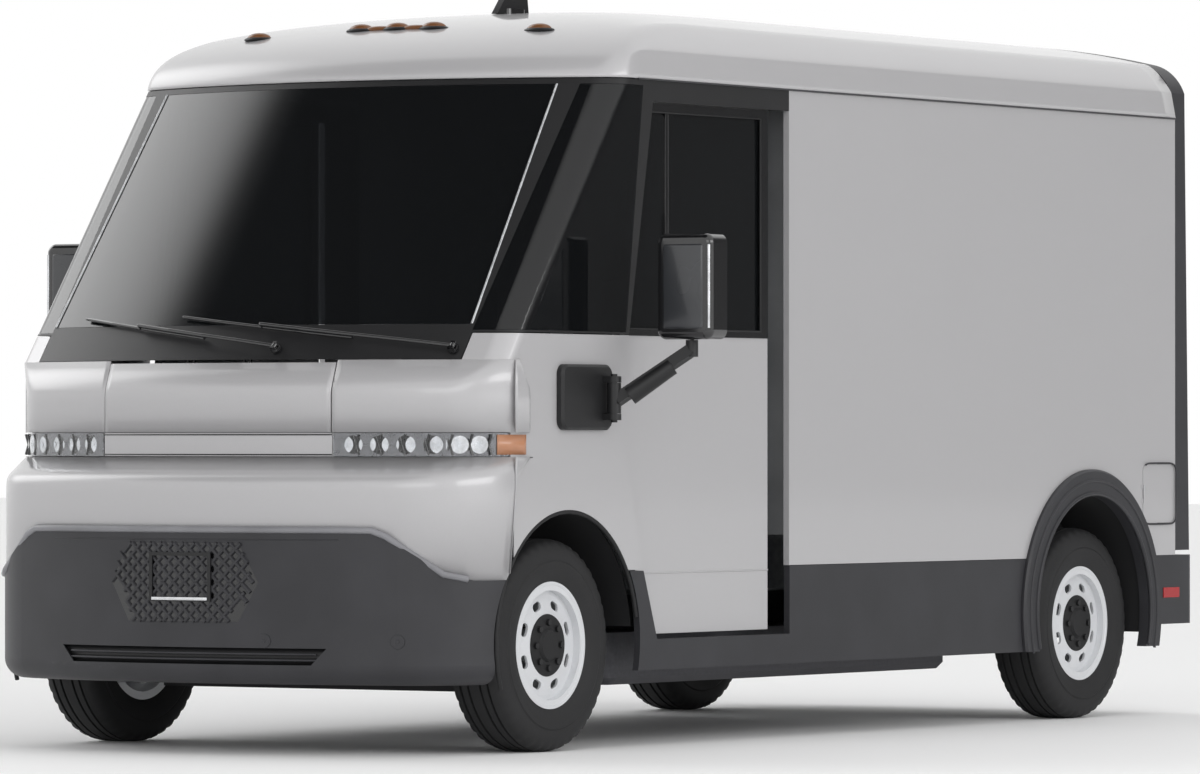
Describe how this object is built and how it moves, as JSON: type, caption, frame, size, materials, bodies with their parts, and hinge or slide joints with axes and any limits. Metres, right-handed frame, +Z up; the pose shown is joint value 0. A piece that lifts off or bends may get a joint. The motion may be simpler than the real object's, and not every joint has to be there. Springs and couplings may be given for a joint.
{
  "type": "mail delivery truck",
  "caption": "Electric step van for parcel rounds: bowed nose, raked windshield, sliding cab doors, tall cargo body and rear doors on sprung axles.",
  "frame": {"origin": "on the road, midway between nose and tail and between the two mirrors' outer ends", "axes": "+Z up, -Y towards the nose, +X towards the truck's left side"},
  "size_m": [2.886, 5.5, 2.7586],
  "materials": {
    "body_composite": "gloss",
    "cladding": "matte",
    "trim_black": "gloss",
    "glass_dark": "polished",
    "lamp_clear": "polished",
    "lamp_body": "gloss",
    "lamp_amber": "gloss",
    "lamp_red": "gloss",
    "bright_bar": "satin",
    "frame_steel": "satin",
    "battery_case": "satin",
    "drive_alloy": "satin",
    "axle_iron": "satin",
    "rim_steel": "satin",
    "tyre_rubber": "matte",
    "liner_plastic": "matte",
    "floor_metal": "satin",
    "lining_panel": "matte",
    "dash_plastic": "matte",
    "seat_cloth": "matte"
  },
  "bodies": {
    "chassis": {"battery_pack": "battery_case", "cab_frame": "trim_black", "cargo_lining": "lining_panel", "cargo_side_left": "body_composite", "cargo_side_right": "body_composite", "charge_socket": "trim_black", "dashboard": "dash_plastic", "drive_unit": "drive_alloy", "fender_left": "body_composite", "fender_right": "body_composite", "floor": "floor_metal", "front_fascia": "body_composite", "headlight_lenses": "lamp_clear", "headlights": "lamp_body", "ladder_frame": "frame_steel", "light_bar": "bright_bar", "lower_bumper": "cladding", "marker_lamps": "lamp_amber", "mirror_bases": "cladding", "quarter_windows": "glass_dark", "rear_bumper": "cladding", "rear_frame": "cladding", "roof": "body_composite", "roof_antenna": "trim_black", "side_cladding": "cladding", "tail_lamps": "lamp_red", "wheel_liners": "liner_plastic", "windshield": "glass_dark"},
    "hood": {"hood_panel": "body_composite"},
    "door_left": {"door_panel_left": "body_composite", "door_window_left": "glass_dark"},
    "door_right": {"door_panel_right": "body_composite", "door_window_right": "glass_dark"},
    "rear_door_left": {"rear_door_left": "body_composite"},
    "rear_door_right": {"rear_door_right": "body_composite"},
    "charge_flap": {"charge_flap": "body_composite"},
    "wiper_spindle_left": {"wiper_spindle_left": "trim_black"},
    "wiper_spindle_right": {"wiper_spindle_right": "trim_black"},
    "wiper_arm_left": {"wiper_arm_left": "trim_black"},
    "wiper_arm_right": {"wiper_arm_right": "trim_black"},
    "mirror_arm_left": {"mirror_arm_left": "cladding"},
    "mirror_arm_right": {"mirror_arm_right": "cladding"},
    "mirror_head_left": {"mirror_head_left": "trim_black"},
    "mirror_head_right": {"mirror_head_right": "trim_black"},
    "steering_wheel": {"steering_wheel": "dash_plastic"},
    "driver_seat": {"seat_frame": "frame_steel", "seat_cushion": "seat_cloth", "seat_back": "seat_cloth"},
    "front_axle": {"front_axle": "axle_iron"},
    "knuckle_left": {"knuckle_left": "axle_iron"},
    "knuckle_right": {"knuckle_right": "axle_iron"},
    "rear_axle": {"rear_axle": "axle_iron"},
    "wheel_front_left": {"rim_front_left": "rim_steel", "tyre_front_left": "tyre_rubber"},
    "wheel_front_right": {"rim_front_right": "rim_steel", "tyre_front_right": "tyre_rubber"},
    "wheel_rear_left": {"rim_rear_left": "rim_steel", "tyre_rear_left": "tyre_rubber"},
    "wheel_rear_right": {"rim_rear_right": "rim_steel", "tyre_rear_right": "tyre_rubber"}
  },
  "joints": [
    {"name": "front_suspension", "type": "slide", "parent": "chassis", "child": "front_axle", "axis": [0, 0, 1], "range_m": [-0.07, 0.05], "stiffness_N_per_m": 220000, "springref_m": -0.08565},
    {"name": "rear_suspension", "type": "slide", "parent": "chassis", "child": "rear_axle", "axis": [0, 0, 1], "range_m": [-0.07, 0.05], "stiffness_N_per_m": 260000, "springref_m": -0.07703},
    {"name": "steer_left", "type": "hinge", "parent": "front_axle", "child": "knuckle_left", "pos_m": [0.815, -1.89, 0.372], "axis": [0, 0, 1], "range_deg": [-30, 30]},
    {"name": "steer_right", "type": "hinge", "parent": "front_axle", "child": "knuckle_right", "pos_m": [-0.815, -1.89, 0.372], "axis": [0, 0, 1], "range_deg": [-30, 30]},
    {"name": "wheel_front_left_spin", "type": "hinge", "parent": "knuckle_left", "child": "wheel_front_left", "pos_m": [0.875, -1.89, 0.372], "axis": [1, 0, 0], "continuous": true},
    {"name": "wheel_front_right_spin", "type": "hinge", "parent": "knuckle_right", "child": "wheel_front_right", "pos_m": [-0.875, -1.89, 0.372], "axis": [1, 0, 0], "continuous": true},
    {"name": "wheel_rear_left_spin", "type": "hinge", "parent": "rear_axle", "child": "wheel_rear_left", "pos_m": [0.875, 1.93, 0.372], "axis": [1, 0, 0], "continuous": true},
    {"name": "wheel_rear_right_spin", "type": "hinge", "parent": "rear_axle", "child": "wheel_rear_right", "pos_m": [-0.875, 1.93, 0.372], "axis": [1, 0, 0], "continuous": true},
    {"name": "steering_wheel_turn", "type": "hinge", "parent": "chassis", "child": "steering_wheel", "pos_m": [0.43, -1.3, 1.2], "axis": [0, 0.788, 0.6157], "range_deg": [-450, 450]},
    {"name": "door_left_slide", "type": "slide", "parent": "chassis", "child": "door_left", "axis": [0, 1, 0], "range_m": [0, 1]},
    {"name": "door_right_slide", "type": "slide", "parent": "chassis", "child": "door_right", "axis": [0, 1, 0], "range_m": [0, 1]},
    {"name": "rear_door_left_hinge", "type": "hinge", "parent": "chassis", "child": "rear_door_left", "pos_m": [0.889, 2.715, 1.52], "axis": [0, 0, -1], "range_deg": [0, 110]},
    {"name": "rear_door_right_hinge", "type": "hinge", "parent": "chassis", "child": "rear_door_right", "pos_m": [-0.889, 2.715, 1.52], "axis": [0, 0, 1], "range_deg": [0, 110]},
    {"name": "hood_hinge", "type": "hinge", "parent": "chassis", "child": "hood", "pos_m": [0, -2.54, 1.347], "axis": [-1, 0, 0], "range_deg": [0, 50]},
    {"name": "charge_flap_hinge", "type": "hinge", "parent": "chassis", "child": "charge_flap", "pos_m": [1.0435, 2.317, 0.876], "axis": [0, 0, -1], "range_deg": [0, 110]},
    {"name": "wiper_right_sweep", "type": "hinge", "parent": "chassis", "child": "wiper_spindle_right", "pos_m": [0.24, -2.5136, 1.4], "axis": [-0.0877, 0.7995, -0.5942], "range_deg": [0, 80]},
    {"name": "wiper_right_lift", "type": "hinge", "parent": "wiper_spindle_right", "child": "wiper_arm_right", "pos_m": [0.24228, -2.53439, 1.41545], "axis": [0.2095, 0.598, 0.7736], "range_deg": [0, 16]},
    {"name": "wiper_left_sweep", "type": "hinge", "parent": "chassis", "child": "wiper_spindle_left", "pos_m": [0.866, -2.34911, 1.4], "axis": [-0.325, 0.759, -0.5641], "range_deg": [0, 80]},
    {"name": "wiper_left_lift", "type": "hinge", "parent": "wiper_spindle_left", "child": "wiper_arm_left", "pos_m": [0.87445, -2.36885, 1.41467], "axis": [0.0352, 0.6058, 0.7948], "range_deg": [0, 16]},
    {"name": "mirror_left_fold", "type": "hinge", "parent": "chassis", "child": "mirror_arm_left", "pos_m": [1.098, -1.682, 1.235], "axis": [0, 0, 1], "range_deg": [-10, 40]},
    {"name": "mirror_left_aim", "type": "hinge", "parent": "mirror_arm_left", "child": "mirror_head_left", "pos_m": [1.33, -1.538, 1.47], "axis": [0, 0, 1], "range_deg": [-18, 18]},
    {"name": "mirror_right_fold", "type": "hinge", "parent": "chassis", "child": "mirror_arm_right", "pos_m": [-1.098, -1.682, 1.235], "axis": [0, 0, -1], "range_deg": [-10, 40]},
    {"name": "mirror_right_aim", "type": "hinge", "parent": "mirror_arm_right", "child": "mirror_head_right", "pos_m": [-1.33, -1.538, 1.47], "axis": [0, 0, 1], "range_deg": [-18, 18]},
    {"name": "seat_slide", "type": "slide", "parent": "chassis", "child": "driver_seat", "axis": [0, 1, 0], "range_m": [-0.08, 0.08]}
  ],
  "couplings": [
    {"joint": "steer_right", "follows": "steer_left", "ratio": 1},
    {"joint": "steering_wheel_turn", "follows": "steer_left", "ratio": 15},
    {"joint": "wiper_right_lift", "follows": "wiper_right_sweep", "ratio": 0.155},
    {"joint": "wiper_left_lift", "follows": "wiper_right_sweep", "ratio": 0.17},
    {"joint": "wiper_left_sweep", "follows": "wiper_right_sweep", "ratio": 1}
  ]
}
